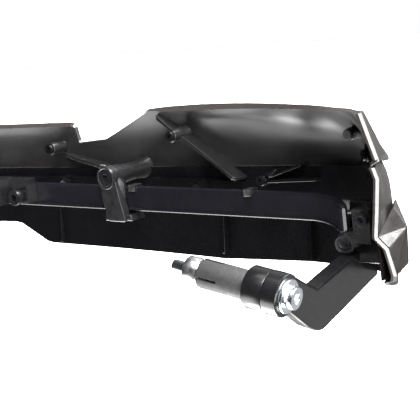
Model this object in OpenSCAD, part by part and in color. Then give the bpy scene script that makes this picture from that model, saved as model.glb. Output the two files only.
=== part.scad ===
// Right hand guard: two thin shells on a bent bar, held at the bar end
// and by a split clamp further in. Built about the bar-end bolt, with x
// outboard, y forward and z up; placed() then moves the origin to the
// bar's end face.

/* [Shells] */
// wall thickness of both shells
wall = 2.8; // [2.4:0.1:3.2]
// outer radius of the curved outboard end, seen from above
end_r = 55; // [54:0.5:56]
// outer radius of the front, seen from above
front_r = 1500; // [1400:10:1600]
// height of the upper rim over the bolt axis
rim_z = 71.5; // [70:0.5:73]
// height of the fold where the shells meet at the outboard end
seam_z = 37; // [36.5:0.5:37.5]
// height of that fold along the front
front_seam_z = 13; // [12.5:0.5:13.5]
// lowest edge of the lower shell
low_z = -15; // [-17:0.5:-14]

/* [Rail] */
// thickness of the bar that carries the shells
rail_t = 5; // [4.5:0.1:5]
// height of that bar
rail_h = 14; // [13:0.5:14.5]
// distance of its rear face from the bolt axis
rail_y = 75; // [74.5:0.1:75.5]

/* [Bar end] */
// thickness of the end arm
arm_t = 8; // [7.5:0.1:8]
// radius of the end arm's round hub
hub_r = 10; // [9:0.1:10]
// length of the spacer between arm and bar end
spacer_l = 10; // [8:0.5:12]
// radius of the closed expander sleeve
plug_r = 7; // [6.8:0.05:7.2]

/* [Clamp] */
// radius of the handlebar
bar_r = 11.1; // [11.1:0.05:11.15]
// distance of the clamp from the bar-end washer, along the bar
clamp_at = 268; // [264:1:270]
// length of the clamp along the bar
clamp_l = 20; // [18:0.5:22]

/* [Hidden] */
$fn = 48;
droop = 10.49;
sweep_in = 4.876;
washer_t = 1.6;
seat = washer_t + arm_t + spacer_l;
c1 = [-40, 50];
split_a = 87;
c2 = [c1[0] + (end_r - front_r)*cos(split_a), c1[1] + (end_r - front_r)*sin(split_a)];
front_a = 10.3;
curl_r = 37;
curl_z = 47;
curl_a = asin((rim_z - curl_z)/curl_r);
lap = wall + 0.2;
step_a = 62;
rail_z = 21.8;
rail_rise = 0.1;
bend_r = 30;

// ---- frames ----
module placed() translate(seat*[cos(droop)*cos(sweep_in), sin(sweep_in), -sin(droop)*cos(sweep_in)]) children();
// local x along the bar, outboard; y forward; z up
module bar_frame(u = 0) rotate([0, droop, 0]) rotate([0, 0, sweep_in]) translate([u, 0, 0]) children();
module along_bar(u, l, r) bar_frame(u) rotate([0, 90, 0]) cylinder(r = r, h = l);
// a cylinder forward from y0, l long
module fwd(x, y0, z, r, l) translate([x, y0, z]) rotate([-90, 0, 0]) cylinder(r = r, h = l);
module rail_frame() translate([-44, 0, rail_z]) rotate([0, rail_rise, 0]) children();
// the outboard bracket's tilted tube: local z runs forward, inboard and up
module tube_frame(t = 0) translate([-10, 60, 8]) rotate([0, 0, 16.7]) rotate([-76.2, 0, 0]) translate([0, 0, t]) children();
// the rail's tab: local x along the tab, y out of its front face, z up
module tab_frame() rail_frame() translate([c_tab[0], c_tab[1], 0]) rotate([0, 0, -45]) children();
c_tab = [6 + bend_r*cos(45), rail_y + rail_t/2 - bend_r + bend_r*sin(45)];

// ---- shells ----
// sweeps a profile drawn as [depth under the outer face, height] between
// two angles of the end curve, and on along the front; the two stretches
// run 0.3 degrees into each other, with the front 0.05 proud
module sweep(a0 = 0, a1 = split_a, a_front = front_a) {
    if (a1 > a0) translate([c1[0], c1[1], 0]) rotate([0, 0, a0])
        rotate_extrude(angle = a1 - a0 + (a_front > 0 ? 0.3 : 0), $fn = 96)
            translate([end_r, 0]) mirror([1, 0]) children();
    if (a_front > 0) translate([c2[0], c2[1], 0]) rotate([0, 0, split_a]) rotate_extrude(angle = a_front, $fn = 720)
        translate([front_r + 0.05, 0]) mirror([1, 0]) children();
}
module swept(pts, a0 = 0, a1 = split_a, a_front = front_a) sweep(a0, a1, a_front) polygon(pts);
// a shape drawn in x and z, taken forward through both shells
module ahead(y0 = 40, l = 90) translate([0, y0 + l, 0]) rotate([90, 0, 0]) linear_extrude(l) children();
// wall between depths t0 and t1: straight up from zb, then curled rearward
module curled(t0, t1, zb, ca = curl_a) {
    translate([t0, zb]) square([t1 - t0, curl_z - zb]);
    intersection() {
        translate([curl_r, curl_z]) difference() {
            circle(r = curl_r - t0, $fn = 96);
            circle(r = curl_r - t1, $fn = 96);
        }
        polygon([[curl_r, curl_z], [-60, curl_z], [-60, curl_z + (curl_r + 60)*tan(ca)]]);
    }
}
// wall of the lower shell: straight, folded inward at fz, and up to top
function lower_profile(fz, top) = [[0, low_z - 6], [0, fz], [lap, fz + 8], [lap, top],
    [lap + wall, top], [lap + wall, fz + 7.2], [wall, fz - 0.8], [wall, low_z - 6]];
// everything above the upper outline at the inboard end
module above_outline() ahead()
    polygon([[-320, 61], [-233, 61], [-230.5, 59], [-230.5, 48.6], [-211, 50.2], [-164, 69.8], [-140, rim_z + 0.4], [-140, 90], [-320, 90]]);
// everything below the upper shell: low along the front, high at the end
module under_upper() ahead()
    polygon([[-320, 10], [-320, front_seam_z + 8.5], [c1[0] + (end_r - wall)*cos(step_a) - 0.25, front_seam_z + 8.5],
        [c1[0] + (end_r - wall)*cos(step_a) - 0.25, seam_z + 8.5], [40, seam_z + 8.5], [40, 10]]);
// everything above the lower shell, with an ear left for the middle screw
module over_lower() ahead()
    polygon([[-320, 28.6], [-86, 28.6], [-84, 36], [-70, 36], [-57, 38], [-16, 40], [-12, 43], [2, 49.5], [40, 49.5], [40, 90], [-320, 90]]);
// everything below the lower outline
module below_outline() ahead()
    polygon([[-320, -2], [-285, -2], [-262, low_z], [-120, low_z - 3], [-60, low_z], [-14, low_z], [40, low_z + 8], [40, -60], [-320, -60]]);
// the space inside the outer faces, to hold towers and ribs to the wall
module inside_upper() sweep() {
    translate([1.2, front_seam_z + 9]) square([46.8, curl_z - front_seam_z - 9]);
    translate([curl_r, curl_z]) square([48 - curl_r, rim_z - 2 - curl_z]);
    intersection() {
        translate([curl_r, curl_z]) circle(r = curl_r - 1.2, $fn = 96);
        translate([0, curl_z]) square([curl_r, rim_z - 2 - curl_z]);
    }
}
module inside_lower() {
    swept([[1.2, low_z - 4], [1.2, seam_z], [lap + 1.2, seam_z + 7.5], [lap + 1.2, seam_z + 14], [50, seam_z + 14], [50, low_z - 4]], 0, step_a, 0);
    swept([[1.2, low_z - 4], [1.2, front_seam_z], [lap + 1.2, front_seam_z + 7.5], [lap + 1.2, seam_z + 1], [50, seam_z + 1], [50, low_z - 4]], step_a);
}
// [x, rear face y, height] of the towers behind the cover panel
cover_at = [[-240, 89, 47.5], [-139.5, 89, 55.4], [-19, 87, 57]];
// and of the screws that draw the shells together, plus the one on the curve
seam_at = [[-236, 93, 24.5], [-130, 95, 24.5], [-78, 88, 31.8]];
curve_screw = [48, seam_z + 10];
function outer_y(x) = x > c1[0] + end_r*cos(split_a)
    ? c1[1] + sqrt(end_r*end_r - (x - c1[0])*(x - c1[0]))
    : c2[1] + sqrt(front_r*front_r - (x - c2[0])*(x - c2[0]));
module on_curve(d) translate([c1[0], c1[1], curve_screw[1]]) rotate([0, 0, curve_screw[0]]) translate([end_r - d, 0, 0]) rotate([0, 90, 0]) children();

module upper_shell() color([0.13, 0.12, 0.12]) placed() {
    difference() {
        union() {
            difference() {
                sweep() curled(0, wall, front_seam_z + 6);
                above_outline();
                under_upper();
            }
            intersection() {
                inside_upper();
                union() {
                    // screw towers for the cover panel
                    for (p = cover_at) fwd(p[0], p[1], p[2], 3.8, 30);
                    // tower for the rail bracket, with a wider root
                    fwd(-174.5, 80, 34.8, 5.6, 40);
                    fwd(-174.5, 97, 34.8, 6.1, 20);
                    // the long rib down through the middle tower
                    translate([-139.5, 90, 55.4]) rotate([0, 31, 0]) translate([-17, 0, -1]) cube([60, 30, 2]);
                }
            }
        }
        // clearance holes and pockets for the panel's pegs
        for (p = cover_at) {
            fwd(p[0], p[1] - 1, p[2], 1.7, 40);
            fwd(p[0], outer_y(p[0]) - 9, p[2], 2.6, 30);
        }
        // threads of the seam screws
        for (p = seam_at) fwd(p[0], p[1], p[2], 2, outer_y(p[0]) - p[1] - 0.5);
        on_curve(20) cylinder(r = 2, h = 19.5);
        // hole for the threaded insert of the rail bracket
        fwd(-174.5, 79, 34.8, 4, 13);
        fwd(-174.5, 79, 34.8, 3.1, 19);
    }
}

module lower_shell() color([0.10, 0.10, 0.10]) placed() {
    difference() {
        union() {
            difference() {
                union() {
                    swept(lower_profile(seam_z, seam_z + 13), 0, step_a, 0);
                    swept(lower_profile(front_seam_z, seam_z + 2), step_a - 1);
                    // closes the step between the two folds
                    swept([[0.3, front_seam_z - 1], [0.3, seam_z], [lap + 0.3, seam_z + 8.5], [lap + wall - 0.3, seam_z + 8.5], [lap + wall - 0.3, front_seam_z - 1]], step_a - 3, step_a - 0.4, 0);
                }
                below_outline();
                over_lower();
            }
            bumper();
            intersection() {
                inside_lower();
                union() {
                    // towers of the seam screws
                    for (p = seam_at) fwd(p[0], p[1], p[2], p[0] == -78 ? 2.9 : 3.6, 30);
                    // ribs beside the middle tower
                    translate([-78, 90, 31]) cube([33, 30, 1.6]);
                    translate([-78, 90, 31]) rotate([0, -18, 0]) cube([22, 30, 1.6]);
                    // tower of the flange screw
                    fwd(1.6, 76.7, 21, 3.9, 30);
                    // stiffening ribs low down
                    for (x = [-250, -120, -60]) translate([x, 96, low_z - 1]) cube([2, 30, 24]);
                }
            }
            intersection() {
                swept([[lap + 0.5, seam_z], [lap + 0.5, seam_z + 15], [14, seam_z + 15], [14, seam_z]], 30, step_a, 0);
                on_curve(9.5) cylinder(r = 3.6, h = 20);
            }
        }
        for (p = seam_at) fwd(p[0], p[1] - 1, p[2], p[0] == -78 ? 1.65 : 2.1, 40);
        on_curve(20) cylinder(r = 2.1, h = 30);
        fwd(1.6, 70, 21, 2, 14);
    }
}
// solid corner block that takes the knock when the motorcycle falls over
module bumper() difference() {
    translate([0, 0, -11]) linear_extrude(42)
        polygon([[11, 50], [19.5, 46.5], [25, 61], [11, 81], [5, 81]]);
    // sloping top, underside and lower front
    translate([13, 50, 15.5]) rotate([0, 0, -36]) rotate([0, 38, 0]) translate([-40, -60, 0]) cube([90, 120, 40]);
    translate([22, 50, -2]) rotate([0, 22, 0]) translate([-60, -50, -40]) cube([120, 120, 40]);
    // keeps clear of the space inside the wall
    translate([c1[0], c1[1], -30]) cylinder(r = end_r - wall, h = 90, $fn = 96);
}

module cover_panel() color([0.16, 0.16, 0.16]) placed() {
    difference() {
        union() {
            difference() {
                sweep(61, split_a, 8.7) curled(-2, -0.15, 39, 22);
                // cut to its outline: low along the notch, and tapered below
                ahead() polygon([[-320, 55], [-236, 55], [-232, 46], [-203, 46.5], [-160, 59], [-140, 70], [-320, 70]]);
                ahead() polygon([[-150, 30], [-150, 39.5], [-14, 50], [20, 50], [20, 30]]);
            }
            for (p = cover_at) fwd(p[0], outer_y(p[0]) - 8.6, p[2], 2.5, 9.4);
        }
        for (p = cover_at) fwd(p[0], outer_y(p[0]) - 10, p[2], 1.3, 8);
    }
}
// socket screw along +y: head's rear face at y0, thread l long
module screw(x, y0, z, r, l, hr, hh) {
    difference() {
        fwd(x, y0, z, hr, hh);
        translate([x, y0 + hh*0.55, z]) rotate([90, 0, 0]) cylinder(r = hr*0.5, h = 5, $fn = 6);
    }
    fwd(x, y0 + hh - 0.01, z, r, l);
}
module cover_screws() color([0.30, 0.30, 0.31]) placed()
    for (p = cover_at) screw(p[0], p[1] - 1.82, p[2], 1.27, outer_y(p[0]) - p[1] - 2, 2.9, 1.8);
module seam_screws() color([0.30, 0.30, 0.31]) placed() {
    for (p = seam_at) screw(p[0], p[1] - 1.62, p[2], p[0] == -78 ? 1.6 : 1.95, outer_y(p[0]) - p[1] - 0.6, 2.6, 1.6);
    on_curve(9.5 + 1.62) {
        difference() {
            cylinder(r = 2.9, h = 1.6);
            translate([0, 0, -1]) cylinder(r = 1.5, h = 1.9, $fn = 6);
        }
        translate([0, 0, 1.59]) cylinder(r = 1.95, h = 8.6);
    }
}

// ---- rail ----
module rail() color([0.09, 0.09, 0.09]) placed() difference() {
    union() {
        rail_frame() translate([-244, rail_y, -rail_h/2]) cube([250.3, rail_t, rail_h]);
        // the bend is a hair thinner than the two straights that run into it
        rail_frame() translate([6, rail_y + rail_t/2 - bend_r, -rail_h/2 + 0.05]) rotate([0, 0, 45])
            rotate_extrude(angle = 45, $fn = 96) translate([bend_r - rail_t/2 + 0.05, 0]) square([rail_t - 0.1, rail_h - 0.1]);
        tab_frame() translate([-0.3, -rail_t/2, -rail_h/2]) cube([10.8, rail_t, rail_h]);
    }
    // outboard tab: threaded blind hole from the front
    tab_frame() translate([5, rail_t/2 + 1, -1]) rotate([90, 0, 0]) cylinder(r = 2.5, h = 5);
    // inboard end: two through holes
    for (x = clamp_bolt_x) fwd(x, rail_y - 2, rail_end_z(x), 3.1, rail_t + 4);
}
clamp_bolt_x = [-280, -249];
function rail_end_z(x) = rail_z - (x + 44)*sin(rail_rise);

module rail_bracket() color([0.12, 0.12, 0.125]) placed() {
    z0 = rail_end_z(-172);
    difference() {
        union() {
            // eye, strap down the rail's rear face, and foot under it
            fwd(-174.5, 68, 34.8, 6.7, 11.98);
            translate([-181, rail_y - 5.2, z0 - rail_h/2 - 3.6]) cube([12, 5, rail_h + 12]);
            translate([-181, rail_y - 5.2, z0 - rail_h/2 - 3.6]) cube([16.5, rail_t + 8.2, 3.2]);
            translate([-181, rail_y + rail_t + 0.2, z0 - rail_h/2 - 3.6]) cube([16.5, 2.8, 9]);
        }
        fwd(-174.5, 66, 34.8, 3.1, 20);
        fwd(-174.5, 67, 34.8, 5.1, 4);
        // keeps clear of the rail
        rail_frame() translate([-160, rail_y - 0.15, -rail_h/2 - 0.15]) cube([60, rail_t + 0.3, rail_h + 0.3]);
    }
}
module bracket_screw() color([0.2, 0.2, 0.21]) placed() {
    difference() {
        fwd(-174.5, 68.1, 34.8, 4.9, 2.9);
        translate([-174.5, 70, 34.8]) rotate([90, 0, 0]) cylinder(r = 2.3, h = 5, $fn = 6);
    }
    fwd(-174.5, 70.98, 34.8, 2.95, 24);
}
module bracket_insert() color([0.75, 0.6, 0.3]) placed() difference() {
    fwd(-174.5, 80, 34.8, 3.98, 12);
    fwd(-174.5, 79, 34.8, 2.97, 14);
}
// small sprung clips that sit on the rail's upper edge
module rail_clips() color([0.5, 0.5, 0.5]) placed()
    for (x = [-163, -80]) rail_frame() translate([x + 44, rail_y - 0.9, rail_h/2 + 0.02]) {
        cube([4.5, rail_t + 1.8, 0.8]);
        translate([0, 0, -2.8]) cube([4.5, 0.8, 3.6]);
        translate([0, rail_t + 1, -2.8]) cube([4.5, 0.8, 3.6]);
    }

// ---- outboard end ----
module end_bracket() color([0.11, 0.11, 0.11]) placed() difference() {
    union() {
        tube_frame() cylinder(r = 4.8, h = 7);
        translate([-4.5, 60, 9]) cube([9.5, 4, 16.5]);
        translate([-9, 60.6, 7]) cube([6, 3.4, 7]);
    }
    tube_frame(-1) cylinder(r = 2.6, h = 20);
    tube_frame(-1) cylinder(r = 3.4, h = 3.2);
    fwd(1.6, 58, 21, 2.1, 10);
}
module end_bracket_screw() color([0.2, 0.2, 0.21]) placed() tube_frame() {
    difference() {
        translate([0, 0, 0.4]) cylinder(r = 3.2, h = 1.8);
        translate([0, 0, -2]) cylinder(r = 1.7, h = 3.4, $fn = 6);
    }
    translate([0, 0, 2.18]) cylinder(r = 2.45, h = 12);
}
module flange_screw() color([0.2, 0.2, 0.21]) placed() screw(1.6, 57.9, 21, 1.95, 22, 3.4, 2.08);

module end_arm() color([0.07, 0.07, 0.07]) placed() difference() {
    union() {
        bar_frame(-washer_t - arm_t) rotate([90, 0, 90]) {
            cylinder(r = hub_r, h = arm_t);
            linear_extrude(arm_t) polygon([[-1, hub_r - 0.05], [3.5, 9.6], [27.5, -5.3], [29.5, -5.2], [78, 2.6],
                [82, 0], [89, -18.6], [85.8, -18.8], [41, -28.2], [37, -28.9], [33.5, -28.5], [30, -27],
                [22.9, -23.3], [6, -10.5], [2, -hub_r + 0.2], [-1, -hub_r + 0.05]]);
        }
        // riser behind the brackets, that the rail's tab seats on
        translate([-14, 68, -3]) cube([17.5, 8.5, 30]);
    }
    // bolt hole
    bar_frame(-20) rotate([0, 90, 0]) cylinder(r = 4.1, h = 30);
    // seat for the rail's tab
    tab_frame() translate([-30, -20, -12]) cube([42, 20 + rail_t/2, 40]);
    // seat and thread for the tube of the end bracket
    tube_frame(-40) cylinder(r = 5, h = 47);
    tube_frame() cylinder(r = 2.5, h = 15);
    // passage for the flange screw
    fwd(1.6, 50, 21, 2.1, 40);
    // passage and head recess for the tab bolt
    tab_frame() translate([5, 40, -1]) rotate([90, 0, 0]) cylinder(r = 2.65, h = 50);
    tab_frame() translate([5, 60 + 8, -1]) rotate([90, 0, 0]) cylinder(r = 5, h = 60);
}
module tab_bolt() color([0.3, 0.3, 0.31]) placed() tab_frame() translate([5, 0, -1]) {
    difference() {
        translate([0, 13, 0]) rotate([90, 0, 0]) cylinder(r = 4.2, h = 5);
        translate([0, 14, 0]) rotate([90, 0, 0]) cylinder(r = 2, h = 3.6, $fn = 6);
    }
    translate([0, 8.01, 0]) rotate([90, 0, 0]) cylinder(r = 2.48, h = 9);
}
module washer() color([0.75, 0.76, 0.78]) placed() difference() {
    along_bar(-washer_t, washer_t, 7.8);
    along_bar(-washer_t - 1, washer_t + 2, 3.2);
}
module end_bolt() color([0.72, 0.73, 0.75]) placed() {
    difference() {
        along_bar(0, 3.6, 5.2);
        bar_frame(1.4) rotate([0, 90, 0]) cylinder(r = 2.5, h = 5, $fn = 6);
    }
    along_bar(-62, 62.01, 3);
}
module end_spacer() color([0.08, 0.08, 0.08]) placed() difference() {
    along_bar(-seat, spacer_l, 9.9);
    along_bar(-seat - 1, spacer_l + 2, 3.3);
}
module expander_sleeve() color([0.05, 0.05, 0.05]) placed() difference() {
    along_bar(-seat - 26, 26, plug_r);
    along_bar(-seat - 27, 29, 3.2);
    // saw cuts that let the sleeve spread
    for (a = [0, 90]) bar_frame(-seat - 27) rotate([a, 0, 0]) translate([0, -20, -0.6]) cube([12, 40, 1.2]);
    bar_frame(-seat - 26.01) rotate([0, 90, 0]) cylinder(r1 = 6.1, r2 = 3.2, h = 8);
}
module expander_cone() color([0.6, 0.6, 0.62]) placed() difference() {
    bar_frame(-seat - 34) rotate([0, 90, 0]) union() {
        cylinder(r = 6.6, h = 5);
        translate([0, 0, 5]) cylinder(r1 = 6.6, r2 = 3.7, h = 8);
    }
    along_bar(-seat - 35, 20, 3.02);
}

// ---- inboard clamp ----
module clamp_arm() color([0.10, 0.10, 0.10]) placed() difference() {
    union() {
        // lug on the rail
        translate([-288, rail_y - 8.02, 17.5]) cube([46, 8, 15]);
        // beam back to the clamp
        translate([-271, 0, 0]) rotate([90, 0, 90]) linear_extrude(14)
            polygon([[-10, 40], [-10, 57.5], [58, 34], [70, 32.5], [70, 17.5], [58, 18]]);
        // forward half of the clamp
        intersection() {
            union() {
                along_bar(-clamp_at - clamp_l/2, clamp_l, bar_r + 6);
                bar_frame(-clamp_at - clamp_l/2) translate([0, 0.6, -25]) cube([clamp_l, 9, 50]);
            }
            bar_frame(-clamp_at - 20) translate([0, 0.6, -40]) cube([40, 60, 80]);
        }
    }
    along_bar(-clamp_at - 30, 60, bar_r);
    for (w = [-19.5, 19.5]) bar_frame(-clamp_at) translate([0, -1, w]) rotate([-90, 0, 0]) cylinder(r = 2.5, h = 18);
    for (x = clamp_bolt_x) fwd(x, rail_y - 12, rail_end_z(x), 3.1, 20);
}
module clamp_arm_bolts() color([0.3, 0.3, 0.31]) placed() for (x = clamp_bolt_x) {
    difference() {
        fwd(x, rail_y - 8.02 - 5, rail_end_z(x), 4.9, 5);
        translate([x, rail_y - 10.5, rail_end_z(x)]) rotate([90, 0, 0]) cylinder(r = 2.5, h = 5, $fn = 6);
    }
    fwd(x, rail_y - 8.03, rail_end_z(x), 2.98, 8 + rail_t + 7);
}
module clamp_arm_nuts() color([0.5, 0.5, 0.52]) placed() for (x = clamp_bolt_x) difference() {
    translate([x, rail_y + rail_t + 0.02, rail_end_z(x)]) rotate([-90, 0, 0]) cylinder(r = 5.7, h = 5.4, $fn = 6);
    fwd(x, rail_y, rail_end_z(x), 3, 20);
}
module clamp_cap() color([0.10, 0.10, 0.10]) placed() difference() {
    intersection() {
        union() {
            along_bar(-clamp_at - clamp_l/2, clamp_l, bar_r + 5);
            bar_frame(-clamp_at - clamp_l/2) translate([0, -7.6, -25]) cube([clamp_l, 7, 50]);
        }
        bar_frame(-clamp_at - 20) translate([0, -60.6, -40]) cube([40, 60, 80]);
    }
    along_bar(-clamp_at - 30, 60, bar_r);
    for (w = [-19.5, 19.5]) bar_frame(-clamp_at) translate([0, -20, w]) rotate([-90, 0, 0]) cylinder(r = 2.7, h = 25);
}
module clamp_bolts() color([0.3, 0.3, 0.31]) placed() for (w = [-19.5, 19.5]) bar_frame(-clamp_at) {
    difference() {
        translate([0, -7.62 - 5, w]) rotate([-90, 0, 0]) cylinder(r = 4.2, h = 5);
        translate([0, -10, w]) rotate([90, 0, 0]) cylinder(r = 2, h = 5, $fn = 6);
    }
    translate([0, -7.63, w]) rotate([-90, 0, 0]) cylinder(r = 2.45, h = 16);
}
// thin plates that set the gap between the clamp's halves
module clamp_shim() color([0.6, 0.6, 0.62]) placed() for (w = [-19.5, 19.5]) bar_frame(-clamp_at) difference() {
    translate([-8, -0.58, w - 4.6]) cube([16, 1.16, 9.2]);
    translate([0, -2, w]) rotate([-90, 0, 0]) cylinder(r = 2.75, h = 4);
}

upper_shell();
lower_shell();
cover_panel();
cover_screws();
seam_screws();
rail();
rail_bracket();
bracket_screw();
bracket_insert();
rail_clips();
end_bracket();
end_bracket_screw();
flange_screw();
tab_bolt();
end_arm();
washer();
end_bolt();
end_spacer();
expander_sleeve();
expander_cone();
clamp_arm();
clamp_arm_bolts();
clamp_arm_nuts();
clamp_cap();
clamp_bolts();
clamp_shim();
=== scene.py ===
import bpy, bmesh, math
import numpy as np
from mathutils import Matrix, Vector

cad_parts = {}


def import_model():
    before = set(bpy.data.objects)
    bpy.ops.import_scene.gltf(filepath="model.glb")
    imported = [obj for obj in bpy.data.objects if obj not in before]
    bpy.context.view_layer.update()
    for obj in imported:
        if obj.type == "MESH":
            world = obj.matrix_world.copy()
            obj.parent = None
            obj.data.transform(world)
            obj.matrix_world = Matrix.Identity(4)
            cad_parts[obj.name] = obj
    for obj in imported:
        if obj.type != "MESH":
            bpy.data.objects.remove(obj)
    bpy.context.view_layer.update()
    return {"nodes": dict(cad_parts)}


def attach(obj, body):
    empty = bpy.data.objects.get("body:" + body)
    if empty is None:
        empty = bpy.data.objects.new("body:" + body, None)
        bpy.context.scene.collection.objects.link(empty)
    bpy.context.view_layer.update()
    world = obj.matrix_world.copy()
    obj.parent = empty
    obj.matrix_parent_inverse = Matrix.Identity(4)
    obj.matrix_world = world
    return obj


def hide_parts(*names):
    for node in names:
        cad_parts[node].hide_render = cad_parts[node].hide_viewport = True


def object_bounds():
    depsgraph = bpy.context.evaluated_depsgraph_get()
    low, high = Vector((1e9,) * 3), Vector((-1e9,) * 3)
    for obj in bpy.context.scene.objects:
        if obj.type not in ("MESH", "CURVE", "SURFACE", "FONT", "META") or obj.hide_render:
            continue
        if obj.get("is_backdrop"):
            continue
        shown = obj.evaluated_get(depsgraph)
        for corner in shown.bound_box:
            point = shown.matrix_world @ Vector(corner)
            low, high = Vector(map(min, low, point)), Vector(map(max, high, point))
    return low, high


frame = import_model()
N = frame["nodes"]
SC = bpy.context.scene
# origin of the working frame (washer's outer face) in the part's frame, mm
SHIFT = np.array([19.2027, 1.6660, -3.5555])


# ---------------------------------------------------------------- materials
def material(name, base, rough, vary=0.25, scale=400.0, grain=0.0, grain_scale=2500.0,
             wave=0.0, wave_scale=60.0, metallic=0.0, rough_vary=0.08, spec=0.5, coat=0.0,
             coat_rough=0.1, tint=None, ior=1.5, aniso=0.0):
    m = bpy.data.materials.new(name)
    m.use_nodes = True
    nt = m.node_tree
    L = nt.links.new
    bsdf = nt.nodes["Principled BSDF"]
    bsdf.inputs["Metallic"].default_value = metallic
    bsdf.inputs["IOR"].default_value = ior
    bsdf.inputs["Specular IOR Level"].default_value = spec
    bsdf.inputs["Coat Weight"].default_value = coat
    bsdf.inputs["Coat Roughness"].default_value = coat_rough
    bsdf.inputs["Anisotropic"].default_value = aniso
    tc = nt.nodes.new("ShaderNodeTexCoord")
    n1 = nt.nodes.new("ShaderNodeTexNoise")
    n1.inputs["Scale"].default_value = scale
    n1.inputs["Detail"].default_value = 4.0
    L(tc.outputs["Object"], n1.inputs["Vector"])
    ramp = nt.nodes.new("ShaderNodeValToRGB")
    dark = [c * (1 - vary) for c in base]
    light = [min(1.0, c * (1 + vary)) for c in (tint or base)]
    ramp.color_ramp.elements[0].position = 0.3
    ramp.color_ramp.elements[1].position = 0.7
    ramp.color_ramp.elements[0].color = (*dark, 1)
    ramp.color_ramp.elements[1].color = (*light, 1)
    L(n1.outputs["Fac"], ramp.inputs["Fac"])
    L(ramp.outputs["Color"], bsdf.inputs["Base Color"])
    n2 = nt.nodes.new("ShaderNodeTexNoise")
    n2.inputs["Scale"].default_value = scale * 0.31
    n2.inputs["Detail"].default_value = 3.0
    L(tc.outputs["Object"], n2.inputs["Vector"])
    mr = nt.nodes.new("ShaderNodeMapRange")
    mr.inputs["From Min"].default_value = 0.3
    mr.inputs["From Max"].default_value = 0.7
    mr.inputs["To Min"].default_value = max(0.02, rough - rough_vary)
    mr.inputs["To Max"].default_value = min(1.0, rough + rough_vary)
    L(n2.outputs["Fac"], mr.inputs["Value"])
    L(mr.outputs["Result"], bsdf.inputs["Roughness"])
    last = None
    if grain > 0:
        n3 = nt.nodes.new("ShaderNodeTexNoise")
        n3.inputs["Scale"].default_value = grain_scale
        n3.inputs["Detail"].default_value = 2.0
        L(tc.outputs["Object"], n3.inputs["Vector"])
        b = nt.nodes.new("ShaderNodeBump")
        b.inputs["Strength"].default_value = 1.0
        b.inputs["Distance"].default_value = grain
        L(n3.outputs["Fac"], b.inputs["Height"])
        last = b
    if wave > 0:
        n4 = nt.nodes.new("ShaderNodeTexNoise")
        n4.inputs["Scale"].default_value = wave_scale
        n4.inputs["Detail"].default_value = 1.0
        L(tc.outputs["Object"], n4.inputs["Vector"])
        b = nt.nodes.new("ShaderNodeBump")
        b.inputs["Strength"].default_value = 1.0
        b.inputs["Distance"].default_value = wave
        L(n4.outputs["Fac"], b.inputs["Height"])
        if last:
            L(last.outputs["Normal"], b.inputs["Normal"])
        last = b
    if last:
        L(last.outputs["Normal"], bsdf.inputs["Normal"])
    return m


M = {
    "inside": material("shell_inside", (0.011, 0.0106, 0.0113), 0.35, vary=0.12, scale=260, grain=0.000006, grain_scale=2200, rough_vary=0.03, tint=(0.0123, 0.0119, 0.0126), spec=0.66),
    "outside": material("shell_grain", (0.0095, 0.0082, 0.0078), 0.31, vary=0.35, scale=900, grain=0.00008, grain_scale=1700, rough_vary=0.06, tint=(0.012, 0.0102, 0.0096)),
    # lip: rim and edge faces of both shells; its base colour, about three times the shell's, is a painted highlight
    # on the rims
    "lip": material("shell_lip_painted_highlight", (0.030, 0.026, 0.024), 0.30, vary=0.2, scale=500, grain=0.00001, grain_scale=1500, rough_vary=0.04, spec=1.0, coat=0.3, coat_rough=0.12),
    "rib": material("rib_satin", (0.0075, 0.007, 0.0072), 0.32, vary=0.2, scale=400, grain=0.00001, grain_scale=1800),
    # lower: inner faces of the lower shell; its base colour, about a third of the upper shell's inside, is painted
    # shade deep in the bowl
    "lower": material("lower_inside_painted_shade", (0.0035, 0.0035, 0.004), 0.2, vary=0.12, scale=260, grain=0.000004, grain_scale=2200, wave=0.00005, wave_scale=45, rough_vary=0.03, spec=0.1),
    "panel": material("panel_grain", (0.034, 0.033, 0.033), 0.55, vary=0.30, scale=900, grain=0.00006, grain_scale=1700),
    "bracket": material("bracket_nylon", (0.0085, 0.0085, 0.0092), 0.32, vary=0.35, scale=700, grain=0.00002, grain_scale=1500, wave=0.00005, wave_scale=120, spec=0.35),
    "rail": material("rail_coat", (0.0055, 0.0055, 0.0074), 0.22, vary=0.15, scale=300, grain=0.000012, grain_scale=900, wave=0.00004, wave_scale=70, rough_vary=0.04, spec=0.3),
    "arm": material("arm_coat", (0.0055, 0.0055, 0.006), 0.26, vary=0.2, scale=300, grain=0.000015, grain_scale=1000, rough_vary=0.05),
    "zinc": material("zinc_plate", (0.74, 0.77, 0.82), 0.24, vary=0.08, scale=500, grain=0.00001, grain_scale=1300, metallic=1.0, rough_vary=0.08),
    "oxide": material("black_oxide", (0.016, 0.016, 0.018), 0.30, vary=0.3, scale=900, grain=0.00001, grain_scale=2000, metallic=0.7),
    "clip": material("spring_steel", (0.20, 0.20, 0.20), 0.34, vary=0.15, scale=900, grain=0.00001, grain_scale=2000, metallic=1.0),
    "brass": material("brass_insert", (0.75, 0.58, 0.28), 0.3, vary=0.15, scale=900, grain=0.00001, grain_scale=2000, metallic=1.0),
    "sleeve": material("sleeve_rubber", (0.022, 0.022, 0.022), 0.7, vary=0.3, scale=700, grain=0.00003, grain_scale=1500),
    "cone": material("turned_alloy", (0.70, 0.70, 0.72), 0.28, vary=0.06, scale=700, grain=0.00001, grain_scale=1500, metallic=1.0, aniso=0.4),
    "shim": material("plain_alloy", (0.66, 0.66, 0.68), 0.35, vary=0.06, scale=700, grain=0.00001, grain_scale=1500, metallic=1.0),
}
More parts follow.
